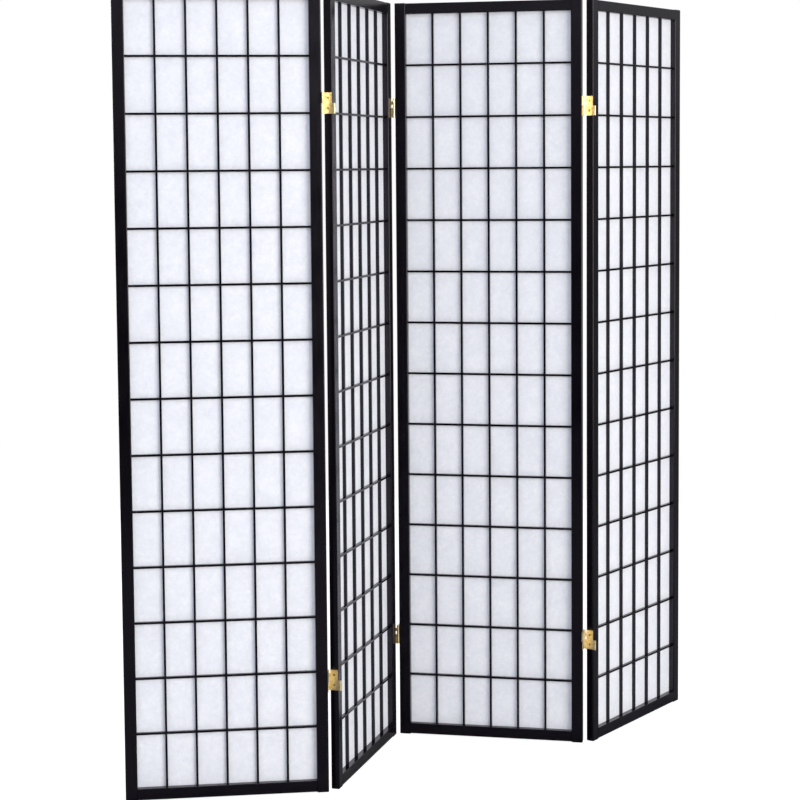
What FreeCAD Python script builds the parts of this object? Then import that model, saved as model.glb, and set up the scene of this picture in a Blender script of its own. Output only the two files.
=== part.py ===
import FreeCAD, Part
import os
import re
import Sketcher

# A folding screen of four lattice panels with paper behind the lattice, standing in a zigzag.
# Each panel is worked out in its own frame: X along its width from the left edge, Y from its front
# face to its back, Z up from the floor. The panels are then set round their folds, and the whole
# screen is centred over the origin, with its feet on Z = 0 and its front towards -Y.

SIZES = {
    # One panel, millimetres.
    "panel_height": 1785.0,
    "panel_width": 451.0,
    "panel_depth": 19.0,
    "stile_face": 26.5,
    "rail_face": 25.5,
    "top_horn": 1.0,
    "bottom_horn": 2.0,
    "stile_arris": 2.0,
    "rail_arris": 1.2,
    # Lattice: the bars stand back from the front face, and the paper lies on their backs.
    "bar_face": 4.8,
    "bar_depth": 7.3,
    "lattice_recess": 7.0,
    "column_count": 6,
    "row_count": 14,
    "housing_depth": 4.0,
    # Paper and the rabbet that its edges are glued in.
    "paper_thickness": 0.4,
    "rabbet_width": 6.0,
    "paper_margin": 0.5,
    # Joinery of the rails and stiles.
    "tenon_length": 15.0,
    "tenon_thickness": 6.0,
    "tenon_setback": 6.0,
    "tenon_shoulder": 5.0,
    # Clearances between wooden pieces.
    "joint_clearance": 0.05,
    "end_clearance": 0.3,
    # Double-action hinge.
    "axis_offset": 5.2,
    "barrel_radius": 3.0,
    "hinge_height": 46.0,
    "hinge_inset": 250.0,
    "leaf_thickness": 1.0,
    "leaf_margin": 0.6,
    "link_thickness": 1.0,
    "link_knuckle": 7.2,
    "middle_gap": 0.4,
    "knuckle_clearance": 0.3,
    "swing_clearance": 0.3,
    "pin_radius": 1.5,
    "pin_clearance": 0.05,
    # Hinge screws.
    "screw_length": 16.0,
    "shank_radius": 1.5,
    "screw_clearance": 0.05,
    "tip_length": 3.0,
    "tip_radius": 0.3,
    "recess_span": 2.6,
    "recess_width": 0.7,
    "recess_depth": 0.8,
    "access_radius": 3.6,
    # How the screen stands, degrees. A fold of zero is flat.
    "first_panel_angle": -23.7,
    "first_fold": 66.1,
    "second_fold": 85.4,
    "third_fold": 67.0,
    # How far a cutting shape runs past the face that it opens.
    "cut_run": 1.0,
}

# Each fold has its axis at the back or at the front of the two panels that it joins.
FOLDS = (("first_fold", "back"), ("second_fold", "front"), ("third_fold", "back"))
PANEL_COUNT = len(FOLDS) + 1
UP = FreeCAD.Vector(0, 0, 1)
ALONG = FreeCAD.Vector(0, 1, 0)

# Places and sizes that several pieces share, from the sizes above.
OPENING_WIDTH = "(panel_width - 2 * stile_face)"
OPENING_FOOT = "(bottom_horn + rail_face)"
OPENING_HEAD = "(panel_height - top_horn - rail_face)"
OPENING_HEIGHT = "(panel_height - top_horn - bottom_horn - 2 * rail_face)"
LATTICE_BACK = "(lattice_recess + bar_depth)"
COLUMN_PITCH = "((panel_width - 2 * stile_face + bar_face) / column_count)"
ROW_PITCH = "((panel_height - top_horn - bottom_horn - 2 * rail_face + bar_face) / row_count)"
FIRST_UPRIGHT = "(stile_face + %s - bar_face)" % COLUMN_PITCH
FIRST_CROSSBAR = "(%s + %s - bar_face)" % (OPENING_FOOT, ROW_PITCH)
TENON_HEIGHT = "(rail_face - 2 * tenon_shoulder)"
BAR_REACH = "(housing_depth - end_clearance)"
PAPER_LAP = "(rabbet_width - paper_margin)"
PANEL_GAP = "(2 * leaf_thickness + link_thickness + 2 * swing_clearance)"
HALF_LENGTH = "((hinge_height - middle_gap) / 2)"
HINGE_HEIGHTS = {"lower": "hinge_inset", "upper": "(panel_height - hinge_inset)"}
AXIS_DEPTH = {"front": "(0 - axis_offset)", "back": "(panel_depth + axis_offset)"}
# Which side of the gap a leaf's knuckle stands on, in the top half and the bottom half of the hinge.
KNUCKLE_FACE = {"left": {"top": "front", "bottom": "back"}, "right": {"top": "back", "bottom": "front"}}
# Which panel of the pair the links follow when it folds round the back or the front axis.
LINK_CARRIER = {"back": {"top": "left", "bottom": "right"}, "front": {"top": "right", "bottom": "left"}}

doc = FreeCAD.newDocument("screen")
sheet = doc.addObject("Spreadsheet::Sheet", "sizes")
for row, (alias, value) in enumerate(SIZES.items(), start=1):
    cell = "A%d" % row
    sheet.set(cell, str(value))
    sheet.setAlias(cell, alias)
doc.recompute()


def size(alias):
    """The number that a cell of the sheet holds."""
    return float(sheet.get(alias))


def bound(text):
    """An expression in which every size's name points at its cell."""
    return re.sub(r"[a-z]+(?:_[a-z]+)+", lambda match: "sizes." + match.group(0), text)


def bind(thing, **properties):
    """Binds properties to expressions; a double underscore stands for a dot."""
    for name, text in properties.items():
        thing.setExpression(name.replace("__", "."), bound(text))


# ---- Features of a wooden piece -------------------------------------------------------------


def new_body(name):
    body = doc.addObject("PartDesign::Body", name)
    body.Label = name
    return body


def origin_feature(body, role):
    return [item for item in body.Origin.OriginFeatures if item.Role == role][0]


def new_sketch(body, plane, corner):
    """A sketch on one of the body's own planes, its origin moved to a corner along the body's axes."""
    sketch = body.newObject("Sketcher::SketchObject", "outline")
    sketch.AttachmentSupport = (origin_feature(body, plane), [""])
    sketch.MapMode = "FlatFace"
    across, up, out = {"XY_Plane": (0, 1, 2), "YZ_Plane": (1, 2, 0)}[plane]
    bind(
        sketch,
        AttachmentOffset__Base__x=corner[across],
        AttachmentOffset__Base__y=corner[up],
        AttachmentOffset__Base__z=corner[out],
    )
    return sketch


def rectangle(body, corner, width, depth):
    """A level rectangle with one corner where it is asked for."""
    sketch = new_sketch(body, "XY_Plane", corner)
    points = [FreeCAD.Vector(x, y, 0) for x, y in ((0, 0), (1, 0), (1, 1), (0, 1))]
    for index, start in enumerate(points):
        sketch.addGeometry(Part.LineSegment(start, points[(index + 1) % 4]), False)
    for index in range(4):
        sketch.addConstraint(Sketcher.Constraint("Coincident", index, 2, (index + 1) % 4, 1))
        direction = "Horizontal" if index % 2 == 0 else "Vertical"
        sketch.addConstraint(Sketcher.Constraint(direction, index))
    sketch.addConstraint(Sketcher.Constraint("Coincident", 0, 1, -1, 1))
    across = sketch.addConstraint(Sketcher.Constraint("DistanceX", 0, 1, 0, 2, 1.0))
    along = sketch.addConstraint(Sketcher.Constraint("DistanceY", 1, 1, 1, 2, 1.0))
    sketch.setExpression("Constraints[%d]" % across, bound(width))
    sketch.setExpression("Constraints[%d]" % along, bound(depth))
    return sketch


def pad_box(body, corner, width, depth, height):
    pad = body.newObject("PartDesign::Pad", "pad")
    pad.Profile = rectangle(body, corner, width, depth)
    bind(pad, Length=height)
    body.Tip = pad
    return pad


def cut_box(body, corner, width, depth, height):
    """Cuts a box upwards from its lowest corner."""
    pocket = body.newObject("PartDesign::Pocket", "pocket")
    pocket.Profile = rectangle(body, corner, width, depth)
    pocket.Reversed = True
    bind(pocket, Length=height)
    body.Tip = pocket
    return pocket


def repeat(body, feature, axis, count, pitch):
    pattern = body.newObject("PartDesign::LinearPattern", "row")
    pattern.Originals = [feature]
    pattern.Direction = (origin_feature(body, axis), [""])
    pattern.Mode = "Spacing"
    bind(pattern, Occurrences=count, Offset=pitch)
    body.Tip = pattern
    return pattern


def ease_edges(body, radius, direction=None):
    """Rounds the edges of the body so far, all of them or those along one direction."""
    doc.recompute()
    base = body.Tip
    names = []
    for index, edge in enumerate(base.Shape.Edges, start=1):
        run = edge.Vertexes[1].Point.sub(edge.Vertexes[0].Point).normalize()
        if direction is None or abs(run.dot(direction)) > 0.999:
            names.append("Edge%d" % index)
    fillet = body.newObject("PartDesign::Fillet", "eased")
    fillet.Base = (base, names)
    bind(fillet, Radius=radius)
    body.Tip = fillet


# ---- Wooden pieces of a panel -----------------------------------------------------------------


def inward_cut(side, depth):
    """Where a cut in a stile's inner edge starts along X, and how wide it is."""
    width = "(%s + cut_run)" % depth
    if side == "left":
        return "(stile_face - %s)" % depth, width
    return "(panel_width - stile_face - cut_run)", width


def stile(name, side, hinged):
    """An upright: rounded all over, mortised for the rails and housed for the crossbars' ends."""
    body = new_body(name)
    edge = "0" if side == "left" else "(panel_width - stile_face)"
    pad_box(body, (edge, "0", "0"), "stile_face", "panel_depth", "panel_height")
    ease_edges(body, "stile_arris")
    start, width = inward_cut(side, "rabbet_width")
    cut_box(
        body,
        (start, LATTICE_BACK, "(%s - rabbet_width)" % OPENING_FOOT),
        width,
        "(panel_depth - %s + cut_run)" % LATTICE_BACK,
        "(%s + 2 * rabbet_width)" % OPENING_HEIGHT,
    )
    start, width = inward_cut(side, "(tenon_length + end_clearance)")
    for foot in ("bottom_horn", OPENING_HEAD):
        cut_box(
            body,
            (start, "(tenon_setback - joint_clearance)", "(%s + tenon_shoulder - joint_clearance)" % foot),
            width,
            "(tenon_thickness + 2 * joint_clearance)",
            "(%s + 2 * joint_clearance)" % TENON_HEIGHT,
        )
    start, width = inward_cut(side, "housing_depth")
    housing = cut_box(
        body,
        (start, "(lattice_recess - joint_clearance)", "(%s - joint_clearance)" % FIRST_CROSSBAR),
        width,
        "(bar_depth + joint_clearance + cut_run)",
        "(bar_face + 2 * joint_clearance)",
    )
    repeat(body, housing, "Z_Axis", "row_count - 1", ROW_PITCH)
    if hinged:
        pilot_holes(body, side)
    return body


def pilot_holes(body, side):
    """Two screw holes behind each hinge leaf, in the stile's outer edge."""
    face = "0" if side == "left" else "panel_width"
    sketch = new_sketch(body, "YZ_Plane", (face, "panel_depth / 2", "hinge_inset"))
    for index, sign in enumerate((1, -1)):
        sketch.addGeometry(Part.Circle(FreeCAD.Vector(0, sign, 0), UP, 0.5), False)
        sketch.addConstraint(Sketcher.Constraint("PointOnObject", index, 3, -2))
        radius = sketch.addConstraint(Sketcher.Constraint("Radius", index, 0.5))
        sketch.setExpression("Constraints[%d]" % radius, bound("shank_radius + screw_clearance"))
        ends = (-1, 1, index, 3) if sign > 0 else (index, 3, -1, 1)
        height = sketch.addConstraint(Sketcher.Constraint("DistanceY", *ends, 1.0))
        sketch.setExpression("Constraints[%d]" % height, bound("(middle_gap + %s) / 2" % HALF_LENGTH))
    holes = body.newObject("PartDesign::Pocket", "pilots")
    holes.Profile = sketch
    holes.Reversed = side == "left"
    bind(holes, Length="screw_length - leaf_thickness + end_clearance")
    body.Tip = holes
    repeat(body, holes, "Z_Axis", str(len(HINGE_HEIGHTS)), "panel_height - 2 * hinge_inset")


def rail(name, end):
    """A crosspiece between the stiles: tenoned at both ends and housed for the uprights."""
    body = new_body(name)
    foot = "bottom_horn" if end == "bottom" else OPENING_HEAD
    pad_box(body, ("stile_face", "0", foot), OPENING_WIDTH, "panel_depth", "rail_face")
    ease_edges(body, "rail_arris", FreeCAD.Vector(1, 0, 0))
    pad_box(
        body,
        ("(stile_face - tenon_length)", "tenon_setback", "(%s + tenon_shoulder)" % foot),
        "(%s + 2 * tenon_length)" % OPENING_WIDTH,
        "tenon_thickness",
        TENON_HEIGHT,
    )
    rabbet_foot = "(%s - rabbet_width)" % OPENING_FOOT
    housing_foot = "(%s - housing_depth)" % OPENING_FOOT
    if end == "top":
        rabbet_foot = "(%s - cut_run)" % OPENING_HEAD
        housing_foot = rabbet_foot
    cut_box(
        body,
        ("(stile_face - cut_run)", LATTICE_BACK, rabbet_foot),
        "(%s + 2 * cut_run)" % OPENING_WIDTH,
        "(panel_depth - %s + cut_run)" % LATTICE_BACK,
        "(rabbet_width + cut_run)",
    )
    housing = cut_box(
        body,
        ("(%s - joint_clearance)" % FIRST_UPRIGHT, "(lattice_recess - joint_clearance)", housing_foot),
        "(bar_face + 2 * joint_clearance)",
        "(bar_depth + joint_clearance + cut_run)",
        "(housing_depth + cut_run)",
    )
    repeat(body, housing, "X_Axis", "column_count - 1", COLUMN_PITCH)
    return body


def uprights(name):
    """The vertical bars of the lattice, notched at the back where the crossbars pass."""
    body = new_body(name)
    bar = pad_box(
        body,
        (FIRST_UPRIGHT, "lattice_recess", "(%s - %s)" % (OPENING_FOOT, BAR_REACH)),
        "bar_face",
        "bar_depth",
        "(%s + 2 * %s)" % (OPENING_HEIGHT, BAR_REACH),
    )
    repeat(body, bar, "X_Axis", "column_count - 1", COLUMN_PITCH)
    notch = cut_box(
        body,
        ("stile_face", "(lattice_recess + bar_depth / 2 - joint_clearance)",
         "(%s - joint_clearance)" % FIRST_CROSSBAR),
        OPENING_WIDTH,
        "(bar_depth / 2 + joint_clearance + cut_run)",
        "(bar_face + 2 * joint_clearance)",
    )
    repeat(body, notch, "Z_Axis", "row_count - 1", ROW_PITCH)
    return body


def crossbars(name):
    """The horizontal bars of the lattice, notched at the front where the uprights pass."""
    body = new_body(name)
    bar = pad_box(
        body,
        ("(stile_face - %s)" % BAR_REACH, "lattice_recess", FIRST_CROSSBAR),
        "(%s + 2 * %s)" % (OPENING_WIDTH, BAR_REACH),
        "bar_depth",
        "bar_face",
    )
    repeat(body, bar, "Z_Axis", "row_count - 1", ROW_PITCH)
    notch = cut_box(
        body,
        ("(%s - joint_clearance)" % FIRST_UPRIGHT, "(lattice_recess - cut_run)", OPENING_FOOT),
        "(bar_face + 2 * joint_clearance)",
        "(bar_depth / 2 + joint_clearance + cut_run)",
        OPENING_HEIGHT,
    )
    repeat(body, notch, "X_Axis", "column_count - 1", COLUMN_PITCH)
    return body


def paper(name):
    """The sheet of paper: flat on the backs of the bars, its edges in the rabbet."""
    body = new_body(name)
    pad_box(
        body,
        ("(stile_face - %s)" % PAPER_LAP, LATTICE_BACK, "(%s - %s)" % (OPENING_FOOT, PAPER_LAP)),
        "(%s + 2 * %s)" % (OPENING_WIDTH, PAPER_LAP),
        "paper_thickness",
        "(%s + 2 * %s)" % (OPENING_HEIGHT, PAPER_LAP),
    )
    return body


# ---- Hinges ---------------------------------------------------------------------------------


def box(name, corner, extent):
    """A plain box from its lowest corner."""
    solid = doc.addObject("Part::Box", name)
    bind(solid, Length=extent[0], Width=extent[1], Height=extent[2])
    bind(solid, Placement__Base__x=corner[0], Placement__Base__y=corner[1], Placement__Base__z=corner[2])
    return solid


def rod(name, foot, radius, length, turn=0, top_radius=None):
    """A cylinder or cone from the centre of its foot, upright or turned about Y."""
    kind = "Part::Cylinder" if top_radius is None else "Part::Cone"
    solid = doc.addObject(kind, name)
    solid.Placement = FreeCAD.Placement(FreeCAD.Vector(0, 0, 0), FreeCAD.Rotation(ALONG, turn))
    bind(solid, Height=length)
    if top_radius is None:
        bind(solid, Radius=radius)
    else:
        bind(solid, Radius1=radius, Radius2=top_radius)
    bind(solid, Placement__Base__x=foot[0], Placement__Base__y=foot[1], Placement__Base__z=foot[2])
    return solid


def fused(name, solids):
    union = doc.addObject("Part::MultiFuse", name)
    union.Shapes = solids
    return union


def cut(name, base, tools):
    tool = tools[0] if len(tools) == 1 else fused(name + "_tools", tools)
    result = doc.addObject("Part::Cut", name)
    result.Base = base
    result.Tool = tool
    return result


def grouped(name, solids):
    group = doc.addObject("Part::Compound", name)
    group.Links = solids
    return group


def half_foot(middle, half):
    """The height of the lowest point of a hinge's top or bottom half."""
    if half == "top":
        return "(%s + middle_gap / 2)" % middle
    return "(%s - hinge_height / 2)" % middle


def leaf_start(side):
    """Where the leaf on a panel's hinged edge starts along X."""
    return "panel_width" if side == "left" else "(0 - leaf_thickness)"


def gap_centre(side):
    return "(panel_width + %s / 2)" % PANEL_GAP if side == "left" else "(0 - %s / 2)" % PANEL_GAP


def inner_turn(side):
    """The turn that lays a rod along X, into the panel from its hinged edge."""
    return -90 if side == "left" else 90


def leaf(name, side, middle):
    """A hinge leaf on a panel's edge, with one knuckle in each half, on opposite faces."""
    plate = box(
        name + "_plate",
        (leaf_start(side), "leaf_margin", "(%s - hinge_height / 2)" % middle),
        ("leaf_thickness", "(panel_depth - 2 * leaf_margin)", "hinge_height"),
    )
    solids = [plate]
    cuts = []
    ear_start = {"front": AXIS_DEPTH["front"], "back": "(panel_depth - 2 * leaf_margin)"}
    for half, face in KNUCKLE_FACE[side].items():
        foot = half_foot(middle, half)
        knuckle_foot = "(%s + link_knuckle + knuckle_clearance)" % foot
        knuckle_length = "(%s - 2 * link_knuckle - 2 * knuckle_clearance)" % HALF_LENGTH
        axis = (gap_centre(side), AXIS_DEPTH[face], knuckle_foot)
        solids.append(rod(name + "_knuckle", axis, "barrel_radius", knuckle_length))
        solids.append(
            box(
                name + "_ear",
                (leaf_start(side), ear_start[face], knuckle_foot),
                ("leaf_thickness", "(axis_offset + 2 * leaf_margin)", knuckle_length),
            )
        )
        bore_axis = (gap_centre(side), AXIS_DEPTH[face], foot)
        cuts.append(rod(name + "_bore", bore_axis, "(pin_radius + pin_clearance)", HALF_LENGTH))
        cuts.append(
            rod(
                name + "_countersink",
                head_centre(side, foot),
                "(shank_radius + leaf_thickness + screw_clearance)",
                "leaf_thickness",
                inner_turn(side),
                "(shank_radius + screw_clearance)",
            )
        )
    return cut(name, fused(name + "_blank", solids), cuts)


def link(name, side, half, middle):
    """A link in the middle of the gap, with two knuckles on each axis and a hole to reach the screw."""
    foot = half_foot(middle, half)
    centre = gap_centre(side)
    plate_start = "(%s - link_thickness / 2)" % centre
    solids = [
        box(
            name + "_plate",
            (plate_start, AXIS_DEPTH["front"], foot),
            ("link_thickness", "(panel_depth + 2 * axis_offset)", HALF_LENGTH),
        )
    ]
    cuts = []
    relief = "(barrel_radius + swing_clearance)"
    relief_start = {"front": AXIS_DEPTH["front"], "back": "(%s - %s)" % (AXIS_DEPTH["back"], relief)}
    for face, depth in AXIS_DEPTH.items():
        for knuckle_foot in (foot, "(%s + %s - link_knuckle)" % (foot, HALF_LENGTH)):
            axis = (centre, depth, knuckle_foot)
            solids.append(rod(name + "_knuckle", axis, "barrel_radius", "link_knuckle"))
        bore_axis = (centre, depth, foot)
        cuts.append(rod(name + "_bore", bore_axis, "(pin_radius + pin_clearance)", HALF_LENGTH))
        cuts.append(
            box(
                name + "_relief",
                (plate_start, relief_start[face], "(%s + link_knuckle)" % foot),
                ("link_thickness", relief, "(%s - 2 * link_knuckle)" % HALF_LENGTH),
            )
        )
    access = (plate_start, "(panel_depth / 2)", "(%s + %s / 2)" % (foot, HALF_LENGTH))
    cuts.append(rod(name + "_access", access, "access_radius", "link_thickness", 90))
    return cut(name, fused(name + "_blank", solids), cuts)


def hinge_pin(name, side, half, face, middle):
    """A pin through the knuckles of one link and one leaf."""
    foot = (gap_centre(side), AXIS_DEPTH[face], half_foot(middle, half))
    return rod(name, foot, "pin_radius", HALF_LENGTH)


def head_centre(side, foot):
    """The centre of a screw head's top, flush with the leaf."""
    surface = "(panel_width + leaf_thickness)" if side == "left" else "(0 - leaf_thickness)"
    return surface, "(panel_depth / 2)", "(%s + %s / 2)" % (foot, HALF_LENGTH)


def screw(name, side, half, middle):
    """A countersunk wood screw with a cross recess, driven through a leaf into the stile."""
    head = head_centre(side, half_foot(middle, half))
    turn = inner_turn(side)
    away = "-" if side == "left" else "+"
    head_radius = "(shank_radius + leaf_thickness)"
    shank_length = "(screw_length - tip_length)"
    tip_foot = ("(%s %s %s)" % (head[0], away, shank_length), head[1], head[2])
    body = fused(
        name + "_blank",
        [
            rod(name + "_head", head, head_radius, "leaf_thickness", turn, "shank_radius"),
            rod(name + "_shank", head, "shank_radius", shank_length, turn),
            rod(name + "_tip", tip_foot, "shank_radius", "tip_length", turn, "tip_radius"),
        ],
    )
    start = "(%s - %s)" % (head[0], "recess_depth" if side == "left" else "cut_run")
    slots = []
    for span, rise in (("recess_span", "recess_width"), ("recess_width", "recess_span")):
        corner = (start, "(%s - %s / 2)" % (head[1], span), "(%s - %s / 2)" % (head[2], rise))
        slots.append(box(name + "_slot", corner, ("(recess_depth + cut_run)", span, rise)))
    return cut(name, body, slots)


# ---- The whole screen -----------------------------------------------------------------------


def panel_pieces(panel):
    """The wooden pieces and the paper of one panel."""
    name = "panel_%d_" % panel
    return [
        stile(name + "left_stile", "left", panel > 1),
        stile(name + "right_stile", "right", panel < PANEL_COUNT),
        rail(name + "top_rail", "top"),
        rail(name + "bottom_rail", "bottom"),
        uprights(name + "vertical_bars"),
        crossbars(name + "horizontal_bars"),
        paper(name + "paper"),
    ]


def hinge_pieces():
    """Leaves and links by the panel that carries them, and each panel's pins and screws."""
    pieces = {panel: [] for panel in range(1, PANEL_COUNT + 1)}
    pins = {panel: [] for panel in pieces}
    screws = {panel: [] for panel in pieces}
    for fold, (_, axis_face) in enumerate(FOLDS, start=1):
        panels = {"left": fold, "right": fold + 1}
        for height, middle in HINGE_HEIGHTS.items():
            name = "fold_%d_%s_hinge_" % (fold, height)
            for side, panel in panels.items():
                pieces[panel].append(leaf(name + side + "_leaf", side, middle))
                for half in ("top", "bottom"):
                    screws[panel].append(screw(name + side + "_screw", side, half, middle))
            for half in ("top", "bottom"):
                side = LINK_CARRIER[axis_face][half]
                pieces[panels[side]].append(link(name + half + "_link", side, half, middle))
                for face in AXIS_DEPTH:
                    pins[panels[side]].append(hinge_pin(name + "pin", side, half, face, middle))
    for panel, group in pieces.items():
        group.append(grouped("panel_%d_hinge_pins" % panel, pins[panel]))
        group.append(grouped("panel_%d_hinge_screws" % panel, screws[panel]))
    return pieces


def pivot(side, face):
    """A fold's axis in the frame of the panel to its left or right."""
    half_gap = size("leaf_thickness") + size("swing_clearance") + size("link_thickness") / 2
    across = size("panel_width") + half_gap if side == "left" else -half_gap
    depth = -size("axis_offset") if face == "front" else size("panel_depth") + size("axis_offset")
    return FreeCAD.Vector(across, depth, 0)


def standing_places():
    """Each panel's placement, and each fold's axis, from the first panel's front left foot."""
    angle = size("first_panel_angle")
    corner = FreeCAD.Vector(0, 0, 0)
    places = [FreeCAD.Placement(corner, FreeCAD.Rotation(UP, angle))]
    axes = []
    for alias, face in FOLDS:
        axis = places[-1].multVec(pivot("left", face))
        angle += size(alias) if face == "back" else -size(alias)
        turn = FreeCAD.Rotation(UP, angle)
        corner = axis - turn.multVec(pivot("right", face))
        places.append(FreeCAD.Placement(corner, turn))
        axes.append(axis)
    return places, axes


def check(objects):
    """Stops if an object failed or a sub-part has no sound shape."""
    for item in doc.Objects:
        failed = [word for word in item.State if word in ("Invalid", "Error")]
        if failed:
            raise RuntimeError("%s is %s" % (item.Label, failed))
    for item in objects:
        if item.Shape.isNull() or not item.Shape.isValid():
            raise RuntimeError("%s has no sound shape" % item.Label)


panels = {panel: panel_pieces(panel) for panel in range(1, PANEL_COUNT + 1)}
for panel, group in hinge_pieces().items():
    panels[panel].extend(group)
doc.recompute()
places, axes = standing_places()
for panel, group in panels.items():
    for piece in group:
        piece.Label = piece.Name
        home = piece.Placement
        piece.Placement = places[panel - 1].multiply(home)
doc.recompute()

bounds = FreeCAD.BoundBox()
for group in panels.values():
    for piece in group:
        bounds.add(piece.Shape.BoundBox)
to_origin = FreeCAD.Vector(-bounds.Center.x, -bounds.Center.y, -bounds.ZMin)
shift = FreeCAD.Placement(to_origin, FreeCAD.Rotation())
for group in panels.values():
    for piece in group:
        piece.Placement = shift.multiply(piece.Placement)
doc.recompute()

pieces = [piece for group in panels.values() for piece in group]
check(pieces)
os.makedirs("parts", exist_ok=True)
for piece in pieces:
    piece.Shape.exportStep("parts/%s.step" % piece.Label)
for number, axis in enumerate(axes, start=1):
    place = axis + to_origin
    print("fold %d axis at x %.4f y %.4f mm" % (number, place.x, place.y))
for number, place in enumerate(places, start=1):
    foot = place.Base + to_origin
    print("panel %d foot at x %.4f y %.4f mm" % (number, foot.x, foot.y))
print("size %.2f x %.2f x %.2f mm" % (bounds.XLength, bounds.YLength, bounds.ZLength))
print("%d nodes, %d solids" % (len(pieces), sum(len(piece.Shape.Solids) for piece in pieces)))
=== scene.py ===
import math

import bpy
import numpy as np
from mathutils import Euler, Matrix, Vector


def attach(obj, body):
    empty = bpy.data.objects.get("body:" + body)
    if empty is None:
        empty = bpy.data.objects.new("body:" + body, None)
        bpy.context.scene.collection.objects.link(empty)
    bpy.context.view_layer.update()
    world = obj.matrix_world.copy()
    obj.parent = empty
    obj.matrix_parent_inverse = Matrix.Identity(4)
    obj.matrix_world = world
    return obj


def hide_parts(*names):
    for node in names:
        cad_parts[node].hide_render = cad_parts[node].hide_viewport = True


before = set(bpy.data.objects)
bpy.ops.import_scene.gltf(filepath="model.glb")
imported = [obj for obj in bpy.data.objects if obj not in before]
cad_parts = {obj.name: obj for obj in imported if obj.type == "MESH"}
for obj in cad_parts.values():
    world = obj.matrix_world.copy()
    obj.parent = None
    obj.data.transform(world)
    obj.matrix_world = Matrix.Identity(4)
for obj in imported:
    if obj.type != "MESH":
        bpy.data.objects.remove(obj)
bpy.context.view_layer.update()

# The look of a folding screen: black lacquered lattice panels, paper sheets and brass hinges.
# Metres, in the same frame as the solids. Colours are linear.

PANELS = (1, 2, 3, 4)
UPRIGHT_PARTS = ("left_stile", "right_stile", "vertical_bars")
LEVEL_PARTS = ("top_rail", "bottom_rail", "horizontal_bars")

# Camera: from the left and a little above the middle, fitted to the photograph. Its turn is in degrees, its
# lens and sensor are in millimetres, and its shift is a share of the picture's width.
CAMERA_PLACE = (-2.4684, -3.9722, 1.3997)
CAMERA_TURN = (85.5218, 0.4552, -31.116)
CAMERA_LENS = 89.403
CAMERA_SENSOR = 36.0
CAMERA_SHIFT = -0.10

# Lattice of a panel.
COLUMNS = 6
ROWS = 14
BAR_FACE = 0.0048
PAPER_LAP = 0.0055

# Paper sheets. The cockle in each opening has its own depth, and is deeper above or below by up to the lean.
PAPER_CLEARANCE = 0.00005
PAPER_THICKNESS = 0.0002
COCKLE_DEPTH = (0.00004, 0.00022)
COCKLE_LEAN = 0.6
STEPS_ACROSS = 6
STEPS_UP = 12
SEED = 11

# Patterns of noise: scale per metre, detail, roughness and distortion.
GRAIN = (420.0, 6.0, 0.62, 0.0)
PORES = (1400.0, 3.0, 0.5, 0.0)
CLOUDS = (9.0, 4.0, 0.55, 0.0)
DUST = (900.0, 2.0, 0.5, 0.0)
TARNISH = (160.0, 5.0, 0.6, 0.0)
SCRATCHES = (2600.0, 3.0, 0.5, 0.0)
PULP = (120.0, 5.0, 0.6, 0.4)
DRIFTS = (26.0, 3.0, 0.5, 0.6)
SPECKS = (420.0, 4.0, 0.65, 1.5)

# In the materials, a band is the range of a pattern's values that counts. It is carried to the range of what
# the pattern changes. A stretch below 1 draws a pattern out. A bump is a strength and a distance.
FULL = (0.0, 1.0)
UNSTRETCHED = (1.0, 1.0, 1.0)
WHITE = (1.0, 1.0, 1.0)

# Black lacquer on wood. The weights of the bump are those of grain and pores.
LACQUER_DARK = (0.0007, 0.0003, 0.0015)
LACQUER_LIGHT = (0.0020, 0.0011, 0.0034)
LACQUER_DUST = (0.08, 0.075, 0.09)
LACQUER_SHEEN = (0.95, 0.88, 1.0)
LACQUER_SPECULAR = 0.42
LACQUER_ROUGHNESS = (0.15, 0.21)
LACQUER_BUMP = (0.35, 0.00025)
LACQUER_WEIGHTS = (0.7, 0.3)
GRAIN_STRETCH = 0.03
GRAIN_TONE_BAND = (0.38, 0.68)
GRAIN_GLOSS_BAND = (0.35, 0.65)
GRAIN_ROUGHNESS = (0.0, 0.05)
CLOUD_BAND = (0.3, 0.7)
CLOUD_TONE = (0.45, 1.0)
DUST_BAND = (0.66, 0.78)
DUST_SHARE = (0.0, 0.05)

# Brass plates and pins, and darker screws.
BRASS_BRIGHT = (0.94, 0.81, 0.50)
BRASS_TARNISHED = (0.72, 0.53, 0.23)
SCREW_BRIGHT = (0.42, 0.29, 0.10)
SCREW_TARNISHED = (0.22, 0.14, 0.05)
BRASS_ROUGHNESS = (0.28, 0.40)
BRASS_BUMP = (0.25, 0.00008)
BRUSH_STRETCH = 0.12
TARNISH_TONE_BAND = (0.42, 0.66)
TARNISH_GLOSS_BAND = (0.3, 0.7)
SCRATCH_BAND = (0.4, 0.7)
SCRATCH_ROUGHNESS = (0.0, 0.12)

# White paper. The weights of its thin places are those of pulp and drifts. The pattern of its fibres is
# turned from the sheet, in radians, and a share of the light goes through.
PAPER_COLOUR = (0.775, 0.784, 0.822)
PAPER_THIN = (0.848, 0.853, 0.880)
PAPER_FIBRE = (0.91, 0.912, 0.93)
PAPER_SPECULAR = 0.08
PAPER_ROUGHNESS = 0.85
PAPER_BUMP = (0.3, 0.0001)
PAPER_THROUGH = 0.35
THIN_WEIGHTS = (0.6, 0.4)
THIN_BAND = (0.36, 0.62)
FIBRE_TURN = 0.9
FIBRE_STRETCH = 0.55
FIBRE_SCALE = 55.0
FIBRE_BAND = (0.0, 0.03)
FIBRE_SHARE = (0.55, 0.0)
PULP_BAND = (0.42, 0.6)
SPECK_BAND = (0.6, 0.74)
SPECK_SHARE = (0.0, 0.5)

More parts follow.
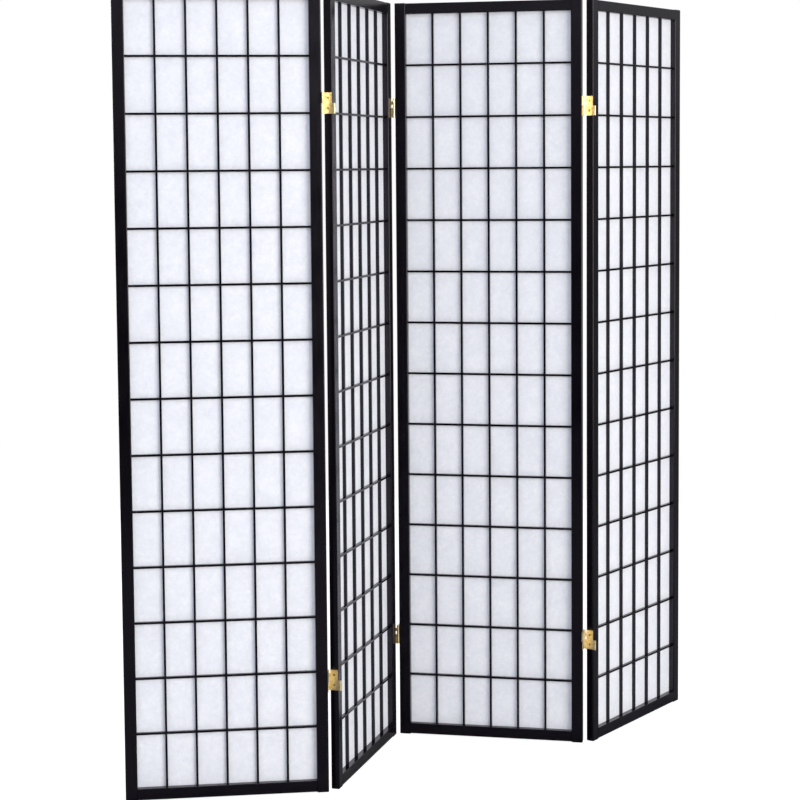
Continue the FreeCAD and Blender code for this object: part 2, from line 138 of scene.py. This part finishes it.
# Light from all round, and three softboxes: where each stands, what it faces, its width and height.
FILL_COLOUR = (0.87, 0.90, 1.0)
FILL_STRENGTH = 0.58
KEY_COLOUR = (1.0, 0.965, 0.90)
KEY_BOX = ((0.8, -5.4, 1.4), (0.0, 0.0, 0.9), 3.8, 2.6)
KEY_WATTS = 248.0
SIDE_COLOUR = (0.82, 0.89, 1.0)
SIDE_BOX = ((-2.3, -3.2, 3.4), (-0.55, 0.0, 0.6), 1.2, 1.2)
SIDE_WATTS = 42.0
BACK_COLOUR = (1.0, 0.98, 0.96)
BACK_BOX = ((-0.9, 3.8, 2.3), (0.0, 0.0, 0.9), 2.0, 2.0)
BACK_WATTS = 100.0

# What gloss shows of the room: a dim wall, dimmer where the viewer stands, and a lighter ceiling.
VIEWER_SIDE = (-0.49, -0.87, 0.0)
VIEWER_BAND = (0.0, 0.6)
WALL_LIGHT = (0.16, 0.03)
CEILING_BAND = (0.01, 0.13)
CEILING_LIGHT = (0.0, 0.55)

# Floor: what the camera sees is its own white and a share of its shading, and what gloss sees is a smaller
# share of its shading.
FLOOR_RADIUS = 3.6
FLOOR_SIDES = 96
FLOOR_DROP = 0.0005
FLOOR_COLOUR = (0.86, 0.86, 0.87)
FLOOR_WHITE = 0.86
FLOOR_SHADED = 0.38
FLOOR_MIRRORED = 0.25


def add_object(name, data):
    """A new object in the scene."""
    thing = bpy.data.objects.new(name, data)
    bpy.context.scene.collection.objects.link(thing)
    return thing


# ---- Node helpers -----------------------------------------------------------------------------


def opaque(colour):
    """A colour with the alpha that a socket asks for."""
    return (*colour, 1.0)


def new_material(name):
    """An empty material with its node tree and its Principled shader."""
    material = bpy.data.materials.new(name)
    material.use_nodes = True
    return material, material.node_tree, material.node_tree.nodes["Principled BSDF"]


def feed(tree, node, inputs):
    """Sets a node's inputs, by name or number, each to a value or to the output of another node."""
    for key, given in inputs.items():
        if isinstance(given, bpy.types.NodeSocket):
            tree.links.new(given, node.inputs[key])
        else:
            node.inputs[key].default_value = given


def add_node(tree, kind, inputs, **properties):
    """A new node with its properties and inputs set."""
    node = tree.nodes.new(kind)
    for name, value in properties.items():
        setattr(node, name, value)
    feed(tree, node, inputs)
    return node


def place_in(tree, turn, stretch):
    """Coordinates along an object's own axes, turned about Z and then stretched."""
    place = tree.nodes.new("ShaderNodeTexCoord").outputs["Object"]
    for change in ({"Rotation": (0.0, 0.0, -turn)}, {"Scale": stretch}):
        mapping = add_node(tree, "ShaderNodeMapping", {"Vector": place, **change}, vector_type="POINT")
        place = mapping.outputs["Vector"]
    return place


def noise(tree, place, pattern):
    scale, detail, roughness, distortion = pattern
    inputs = {
        "Vector": place,
        "Scale": scale,
        "Detail": detail,
        "Roughness": roughness,
        "Distortion": distortion,
    }
    return add_node(tree, "ShaderNodeTexNoise", inputs).outputs["Fac"]


def remap(tree, value, band, reach):
    """A value carried from one range to another, and kept inside it."""
    inputs = dict(enumerate((value, *band, *reach)))
    return add_node(tree, "ShaderNodeMapRange", inputs, clamp=True).outputs["Result"]


def math_node(tree, operation, first, second):
    inputs = {0: first, 1: second}
    return add_node(tree, "ShaderNodeMath", inputs, operation=operation).outputs["Value"]


def weighed(tree, weights, first, second):
    """The sum of two values, each times its weight."""
    parts = [math_node(tree, "MULTIPLY", *pair) for pair in zip((first, second), weights)]
    return math_node(tree, "ADD", *parts)


def blended(tree, factor, first, second):
    """A colour between two others."""
    inputs = {"Factor": factor, "A": first, "B": second}
    return add_node(tree, "ShaderNodeMix", inputs, data_type="RGBA").outputs["Result"]


def bumped(tree, height, bump):
    """The directions of a surface that is bumpy by a height."""
    strength, distance = bump
    inputs = {"Strength": strength, "Distance": distance, "Height": height}
    return add_node(tree, "ShaderNodeBump", inputs).outputs["Normal"]


def mixed(tree, share, first, second):
    """A shader between two others."""
    return add_node(tree, "ShaderNodeMixShader", {0: share, 1: first, 2: second}).outputs["Shader"]


# ---- Materials --------------------------------------------------------------------------------


def lacquer(name, turn, upright):
    """Satin black lacquer on wood, its grain along a piece of a panel that is turned about Z."""
    material, tree, shader = new_material(name)
    stretch = (1.0, 1.0, GRAIN_STRETCH) if upright else (GRAIN_STRETCH, 1.0, 1.0)
    along = place_in(tree, turn, stretch)
    plain = place_in(tree, turn, UNSTRETCHED)
    grain = noise(tree, along, GRAIN)
    pores = noise(tree, along, PORES)
    clouds = noise(tree, plain, CLOUDS)
    dust = noise(tree, plain, DUST)
    tone = math_node(
        tree,
        "MULTIPLY",
        remap(tree, grain, GRAIN_TONE_BAND, FULL),
        remap(tree, clouds, CLOUD_BAND, CLOUD_TONE),
    )
    body = blended(tree, tone, opaque(LACQUER_DARK), opaque(LACQUER_LIGHT))
    colour = blended(tree, remap(tree, dust, DUST_BAND, DUST_SHARE), body, opaque(LACQUER_DUST))
    roughness = math_node(
        tree,
        "ADD",
        remap(tree, clouds, CLOUD_BAND, LACQUER_ROUGHNESS),
        remap(tree, grain, GRAIN_GLOSS_BAND, GRAIN_ROUGHNESS),
    )
    height = weighed(tree, LACQUER_WEIGHTS, grain, pores)
    inputs = {
        "Base Color": colour,
        "Roughness": roughness,
        "Specular IOR Level": LACQUER_SPECULAR,
        "Specular Tint": opaque(LACQUER_SHEEN),
        "Normal": bumped(tree, height, LACQUER_BUMP),
    }
    feed(tree, shader, inputs)
    return material


def brass(name, bright, tarnished):
    """Plated brass, cloudy with tarnish and finely scratched."""
    material, tree, shader = new_material(name)
    plain = place_in(tree, 0.0, UNSTRETCHED)
    brushed = place_in(tree, 0.0, (1.0, 1.0, BRUSH_STRETCH))
    tarnish = noise(tree, plain, TARNISH)
    scratches = noise(tree, brushed, SCRATCHES)
    share = remap(tree, tarnish, TARNISH_TONE_BAND, FULL)
    colour = blended(tree, share, opaque(bright), opaque(tarnished))
    roughness = math_node(
        tree,
        "ADD",
        remap(tree, tarnish, TARNISH_GLOSS_BAND, BRASS_ROUGHNESS),
        remap(tree, scratches, SCRATCH_BAND, SCRATCH_ROUGHNESS),
    )
    inputs = {
        "Base Color": colour,
        "Roughness": roughness,
        "Metallic": 1.0,
        "Normal": bumped(tree, scratches, BRASS_BUMP),
    }
    feed(tree, shader, inputs)
    return material


def washi(name, turn):
    """White fibre paper: cloudy, with long fibres, and letting some light through."""
    material, tree, shader = new_material(name)
    plain = place_in(tree, turn, UNSTRETCHED)
    turned = place_in(tree, turn + FIBRE_TURN, (1.0, 1.0, FIBRE_STRETCH))
    pulp = noise(tree, plain, PULP)
    drifts = noise(tree, plain, DRIFTS)
    fibres = add_node(
        tree,
        "ShaderNodeTexVoronoi",
        {"Vector": turned, "Scale": FIBRE_SCALE, "Randomness": 1.0},
        feature="DISTANCE_TO_EDGE",
    ).outputs["Distance"]
    specks = noise(tree, turned, SPECKS)
    thinness = remap(tree, weighed(tree, THIN_WEIGHTS, pulp, drifts), THIN_BAND, FULL)
    ground = blended(tree, thinness, opaque(PAPER_COLOUR), opaque(PAPER_THIN))
    strands = math_node(
        tree,
        "MULTIPLY",
        remap(tree, fibres, FIBRE_BAND, FIBRE_SHARE),
        remap(tree, pulp, PULP_BAND, FULL),
    )
    pale = math_node(tree, "ADD", strands, remap(tree, specks, SPECK_BAND, SPECK_SHARE))
    colour = blended(tree, pale, ground, opaque(PAPER_FIBRE))
    inputs = {
        "Base Color": colour,
        "Roughness": PAPER_ROUGHNESS,
        "Specular IOR Level": PAPER_SPECULAR,
        "Normal": bumped(tree, specks, PAPER_BUMP),
    }
    feed(tree, shader, inputs)
    through = add_node(tree, "ShaderNodeBsdfTranslucent", {"Color": colour})
    whole = mixed(tree, PAPER_THROUGH, shader.outputs["BSDF"], through.outputs["BSDF"])
    feed(tree, tree.nodes["Material Output"], {"Surface": whole})
    return material


def dress(node, material):
    """Gives every material slot of a solid one material."""
    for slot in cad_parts[node].material_slots:
        slot.material = material


# ---- Paper sheets -----------------------------------------------------------------------------


def paper_box(panel):
    """Where a panel's paper lies: its front left corner and its directions across and back, all as seen from
    above, and its width, foot and height."""
    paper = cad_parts["panel_%d_paper" % panel]
    points = np.array([vertex.co for vertex in paper.data.vertices])
    foot, head = points[:, 2].min(), points[:, 2].max()
    level = points[:, :2]
    middle = level.mean(axis=0)
    reach = level - middle
    left = level[reach[:, 0] < 0]
    right = level[reach[:, 0] > 0]
    across = right.mean(axis=0) - left.mean(axis=0)
    across /= np.linalg.norm(across)
    back = np.array((-across[1], across[0]))
    run, depth = reach @ across, reach @ back
    corner = middle + run.min() * across + depth.min() * back
    return corner, across, back, run.max() - run.min(), foot, head - foot


def stations(length, cells, steps):
    """Places from edge to edge of a sheet, each with its cell and its share of the way across that."""
    pitch = (length - 2 * PAPER_LAP + BAR_FACE) / cells
    places = [0.0]
    shares = [(0, 0.0)]
    for cell in range(cells):
        start = PAPER_LAP + cell * pitch
        for step in range(steps + 1):
            places.append(start + (pitch - BAR_FACE) * step / steps)
            shares.append((cell, step / steps))
    places.append(length)
    shares.append((cells - 1, 1.0))
    return places, shares


def paper_sheet(panel, material):
    """A sheet on the backs of the bars, a little cockled in each opening."""
    corner, across, back, width, foot, height = paper_box(panel)
    draw = np.random.default_rng(SEED + panel)
    depth = draw.uniform(*COCKLE_DEPTH, (COLUMNS, ROWS))
    lean = draw.uniform(-COCKLE_LEAN, COCKLE_LEAN, (COLUMNS, ROWS))
    columns, column_shares = stations(width, COLUMNS, STEPS_ACROSS)
    rows, row_shares = stations(height, ROWS, STEPS_UP)
    points = []
    for up, (row, rise) in zip(rows, row_shares):
        for run, (column, share) in zip(columns, column_shares):
            hollow = math.sin(math.pi * share) * math.sin(math.pi * rise)
            wave = 1.0 + lean[column, row] * math.sin(2 * math.pi * rise)
            inward = PAPER_CLEARANCE + depth[column, row] * hollow * wave
            level = corner + run * across + inward * back
            points.append((level[0], level[1], foot + up))
    count = len(columns)
    faces = []
    for row in range(len(rows) - 1):
        for column in range(count - 1):
            start = row * count + column
            faces.append((start, start + 1, start + count + 1, start + count))
    mesh = bpy.data.meshes.new("paper_sheet_%d" % panel)
    mesh.from_pydata(points, [], faces)
    mesh.shade_smooth()
    mesh.materials.append(material)
    sheet = add_object("paper_sheet_%d" % panel, mesh)
    solid = sheet.modifiers.new("thickness", "SOLIDIFY")
    solid.thickness = PAPER_THICKNESS
    solid.offset = -1.0
    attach(sheet, "panel_%d" % panel)
    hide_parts("panel_%d_paper" % panel)


# ---- Stage ------------------------------------------------------------------------------------


def ray_kinds(tree):
    """1 for the rays of the camera and of clear transmission, which see white, and 1 for those of gloss."""
    path = tree.nodes.new("ShaderNodeLightPath").outputs
    clear = math_node(tree, "SUBTRACT", path["Is Transmission Ray"], path["Is Diffuse Ray"])
    seen = math_node(tree, "MAXIMUM", path["Is Camera Ray"], clear)
    return seen, path["Is Glossy Ray"]


def floor():
    """A round white floor that keeps the screen's shadow."""
    rim = [2 * math.pi * side / FLOOR_SIDES for side in range(FLOOR_SIDES)]
    points = [(FLOOR_RADIUS * math.cos(turn), FLOOR_RADIUS * math.sin(turn), 0.0) for turn in rim]
    mesh = bpy.data.meshes.new("floor")
    mesh.from_pydata(points, [], [range(FLOOR_SIDES)])
    ground = add_object("floor", mesh)
    ground.location = (0.0, 0.0, -FLOOR_DROP)
    material, tree, shader = new_material("floor")
    feed(tree, shader, {"Base Color": opaque(FLOOR_COLOUR), "Roughness": 1.0, "Specular IOR Level": 0.0})
    seen, gloss = ray_kinds(tree)
    dark = add_node(tree, "ShaderNodeEmission", {"Strength": 0.0})
    loss = math_node(
        tree,
        "MAXIMUM",
        math_node(tree, "MULTIPLY", seen, 1.0 - FLOOR_SHADED),
        math_node(tree, "MULTIPLY", gloss, 1.0 - FLOOR_MIRRORED),
    )
    dimmed = mixed(tree, loss, shader.outputs["BSDF"], dark.outputs["Emission"])
    glow = math_node(tree, "MULTIPLY", seen, FLOOR_WHITE)
    white = add_node(tree, "ShaderNodeEmission", {"Color": opaque(WHITE), "Strength": glow})
    whole = add_node(tree, "ShaderNodeAddShader", {0: dimmed, 1: white.outputs["Emission"]})
    feed(tree, tree.nodes["Material Output"], {"Surface": whole.outputs["Shader"]})
    mesh.materials.append(material)


def surroundings():
    """White behind the screen, soft light from all round, and a dim room for gloss to show."""
    world = bpy.data.worlds.new("studio")
    world.use_nodes = True
    tree = world.node_tree
    fill = tree.nodes["Background"]
    feed(tree, fill, {"Color": opaque(FILL_COLOUR), "Strength": FILL_STRENGTH})
    way = tree.nodes.new("ShaderNodeTexCoord").outputs["Generated"]
    ways = {0: way, 1: VIEWER_SIDE}
    facing = add_node(tree, "ShaderNodeVectorMath", ways, operation="DOT_PRODUCT").outputs["Value"]
    rise = add_node(tree, "ShaderNodeSeparateXYZ", {"Vector": way}).outputs["Z"]
    walls = remap(tree, facing, VIEWER_BAND, WALL_LIGHT)
    ceiling = remap(tree, rise, CEILING_BAND, CEILING_LIGHT)
    strength = math_node(tree, "ADD", walls, ceiling)
    room = add_node(tree, "ShaderNodeBackground", {"Color": opaque(WHITE), "Strength": strength})
    backdrop = add_node(tree, "ShaderNodeBackground", {"Color": opaque(WHITE), "Strength": 1.0})
    seen, gloss = ray_kinds(tree)
    unseen = mixed(tree, gloss, fill.outputs["Background"], room.outputs["Background"])
    whole = mixed(tree, seen, unseen, backdrop.outputs["Background"])
    feed(tree, tree.nodes["World Output"], {"Surface": whole})
    bpy.context.scene.world = world


def softbox(name, box, colour, watts):
    """A lamp with a wide face, which the camera doesn't see."""
    place, aim, width, height = box
    lamp = bpy.data.lights.new(name, "AREA")
    lamp.color = colour
    lamp.shape = "RECTANGLE"
    lamp.size = width
    lamp.size_y = height
    lamp.energy = watts
    holder = add_object(name, lamp)
    holder.location = place
    holder.rotation_euler = (Vector(aim) - Vector(place)).to_track_quat("-Z", "Y").to_euler()
    holder.visible_camera = False


def camera():
    """The camera of the photograph."""
    lens = bpy.data.cameras.new("camera")
    lens.sensor_fit = "HORIZONTAL"
    lens.sensor_width = CAMERA_SENSOR
    lens.lens = CAMERA_LENS
    lens.shift_y = CAMERA_SHIFT
    holder = add_object("camera", lens)
    holder.location = CAMERA_PLACE
    holder.rotation_euler = Euler([math.radians(angle) for angle in CAMERA_TURN], "XYZ")
    bpy.context.scene.camera = holder


# ---- The scene --------------------------------------------------------------------------------


bpy.context.scene.view_settings.view_transform = "Standard"
camera()
plate = brass("brass_plate", BRASS_BRIGHT, BRASS_TARNISHED)
fixings = brass("brass_screws", SCREW_BRIGHT, SCREW_TARNISHED)
for panel in PANELS:
    _, across, *_ = paper_box(panel)
    turn = math.atan2(across[1], across[0])
    upright = lacquer("lacquer_upright_%d" % panel, turn, True)
    level = lacquer("lacquer_level_%d" % panel, turn, False)
    for part in UPRIGHT_PARTS:
        dress("panel_%d_%s" % (panel, part), upright)
    for part in LEVEL_PARTS:
        dress("panel_%d_%s" % (panel, part), level)
    dress("panel_%d_hinge_pins" % panel, plate)
    dress("panel_%d_hinge_screws" % panel, fixings)
    paper_sheet(panel, washi("washi_%d" % panel, turn))
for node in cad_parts:
    if node.startswith("fold_"):
        dress(node, plate)
floor()
surroundings()
softbox("key", KEY_BOX, KEY_COLOUR, KEY_WATTS)
softbox("side", SIDE_BOX, SIDE_COLOUR, SIDE_WATTS)
softbox("back", BACK_BOX, BACK_COLOUR, BACK_WATTS)
